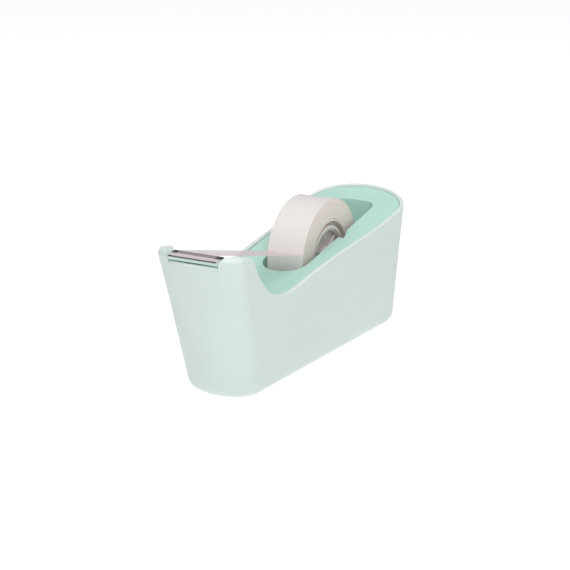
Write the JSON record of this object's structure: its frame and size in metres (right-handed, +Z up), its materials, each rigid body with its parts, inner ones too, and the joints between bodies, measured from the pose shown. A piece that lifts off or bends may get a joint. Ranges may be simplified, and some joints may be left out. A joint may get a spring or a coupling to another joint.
{
  "type": "tape dispenser",
  "caption": "Desktop tape dispenser: hollow weighted shell with a sloped rim, drop-in liner with a well, serrated nose blade, and a lift-out hub carrying the roll of tape.",
  "frame": {"origin": "on the table, below the middle of the bounding box", "axes": "+Z up, nose with the blade towards -X, Y across the tape"},
  "size_m": [0.1657, 0.0526, 0.0721],
  "materials": {
    "outer_shell": "fine satin moulded, pale mint",
    "inner_liner": "satin moulded, mint",
    "blade_seat": "satin moulded, mint",
    "cutter_blade": "rolled stainless strip",
    "ballast_front": "as cast",
    "ballast_floor": "as cast",
    "liner_screws": "zinc plated",
    "non_slip_pad": "matt, fine grained",
    "tape_strip": "matt translucent film",
    "hub_left": "smooth moulded, smoke grey",
    "hub_right": "smooth moulded, smoke grey",
    "tape_core": "moulded, off-white",
    "tape_winding": "matt film, wound"
  },
  "bodies": {
    "base": {"outer_shell": "outer_shell", "inner_liner": "inner_liner", "blade_seat": "blade_seat", "cutter_blade": "cutter_blade", "ballast_front": "ballast_front", "ballast_floor": "ballast_floor", "liner_screws": "liner_screws", "non_slip_pad": "non_slip_pad"},
    "tape_end": {"tape_strip": "tape_strip"},
    "tape_roll": {"hub_left": "hub_left", "hub_right": "hub_right", "tape_core": "tape_core", "tape_winding": "tape_winding"}
  },
  "joints": [
    {"name": "hub_lift", "type": "slide", "parent": "base", "child": "tape_end", "axis": [0.7071, 0, 0.7071], "range_m": [0, 0.022]},
    {"name": "hub_spin", "type": "hinge", "parent": "tape_end", "child": "tape_roll", "pos_m": [0.0237, 0, 0.045], "axis": [0, 1, 0], "continuous": true}
  ]
}
